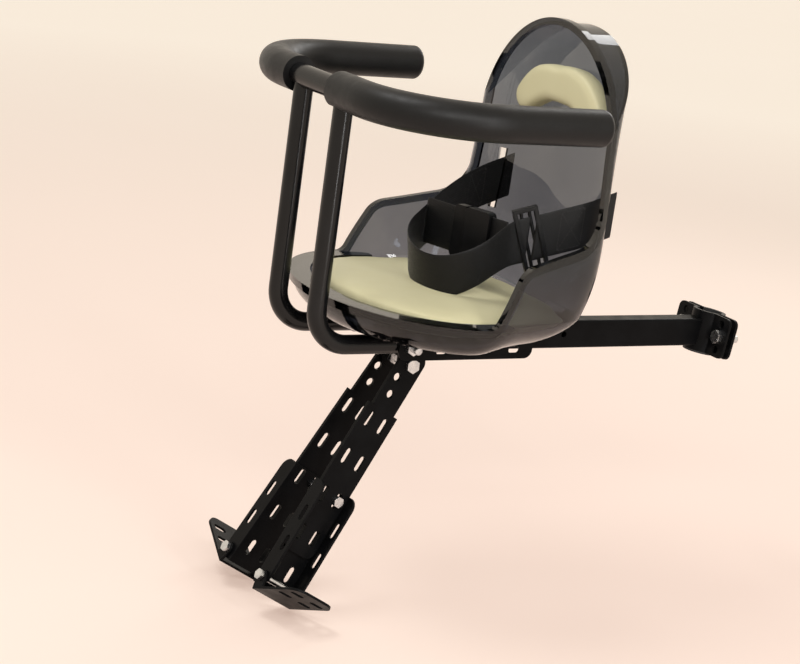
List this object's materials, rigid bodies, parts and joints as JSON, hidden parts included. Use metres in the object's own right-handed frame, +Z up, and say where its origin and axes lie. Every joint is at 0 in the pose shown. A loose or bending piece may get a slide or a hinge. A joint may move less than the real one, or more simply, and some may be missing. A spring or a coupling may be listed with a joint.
{
  "type": "front-mounted child bike seat",
  "caption": "Front child bike seat: smoky clear bucket on a beam clamped to the seat post, padded handrail, lap belt, slotted legs that straddle the frame tube and folding footrests.",
  "frame": {"origin": "centre of the seat-post clamp's bore, on the centre line of the beam", "axes": "+X forward along the beam, +Y to the seated child's left, +Z up, square to the beam"},
  "size_m": [0.5579, 0.377, 0.5936],
  "materials": {
    "smoky_shell": "clear smoked gloss",
    "cream_pad": "matte",
    "foam": "matte",
    "webbing": "woven",
    "black_plastic": "satin",
    "liner_rubber": "matte",
    "zinc": "bright zinc",
    "black_paint": "semi-gloss powder coat"
  },
  "bodies": {
    "frame": {"beam_cap": "black_plastic", "belt_left": "webbing", "belt_lock": "black_plastic", "belt_right": "webbing", "belt_socket_strap": "webbing", "belt_tongue_strap": "webbing", "bracket_bolt": "zinc", "bracket_nut": "zinc", "buckle_socket": "black_plastic", "buckle_tongue": "black_plastic", "clamp_bolt_left": "zinc", "clamp_bolt_right": "zinc", "clamp_front": "black_paint", "clamp_liner": "liner_rubber", "clamp_nut_left": "zinc", "clamp_nut_right": "zinc", "clamp_rear": "black_paint", "footrest_nut_left": "zinc", "footrest_nut_right": "zinc", "footrest_pin_left": "zinc", "footrest_pin_right": "zinc", "grip_left": "foam", "grip_right": "foam", "handrail_bar": "black_paint", "handrail_upright_left": "black_paint", "handrail_upright_right": "black_paint", "head_pad": "cream_pad", "joint_bolt_left": "zinc", "joint_bolt_right": "zinc", "joint_nut_left": "zinc", "joint_nut_right": "zinc", "leg_bolt_left": "zinc", "leg_bolt_right": "zinc", "leg_channel_left": "black_paint", "leg_channel_right": "black_paint", "leg_hanger": "black_paint", "leg_nut_left": "zinc", "leg_nut_right": "zinc", "leg_strap_left": "black_paint", "leg_strap_right": "black_paint", "main_beam": "black_paint", "rail_bolt_left": "zinc", "rail_bolt_right": "zinc", "rail_nut_left": "zinc", "rail_nut_right": "zinc", "seat_bolt": "zinc", "seat_bracket": "black_paint", "seat_cushion": "cream_pad", "seat_nut": "zinc", "seat_shell": "smoky_shell", "shell_bolt_left": "zinc", "shell_bolt_right": "zinc", "shell_nut_left": "zinc", "shell_nut_right": "zinc"},
    "left_footrest": {"footrest_left": "black_paint"},
    "right_footrest": {"footrest_right": "black_paint"}
  },
  "joints": [
    {"name": "left_footrest_fold", "type": "hinge", "parent": "frame", "child": "left_footrest", "pos_m": [0.50738, 0.03778, -0.24366], "axis": [0.866, 0, 0.5], "range_deg": [0, 68]},
    {"name": "right_footrest_fold", "type": "hinge", "parent": "frame", "child": "right_footrest", "pos_m": [0.50738, -0.03778, -0.24366], "axis": [-0.866, 0, -0.5], "range_deg": [0, 68]}
  ]
}
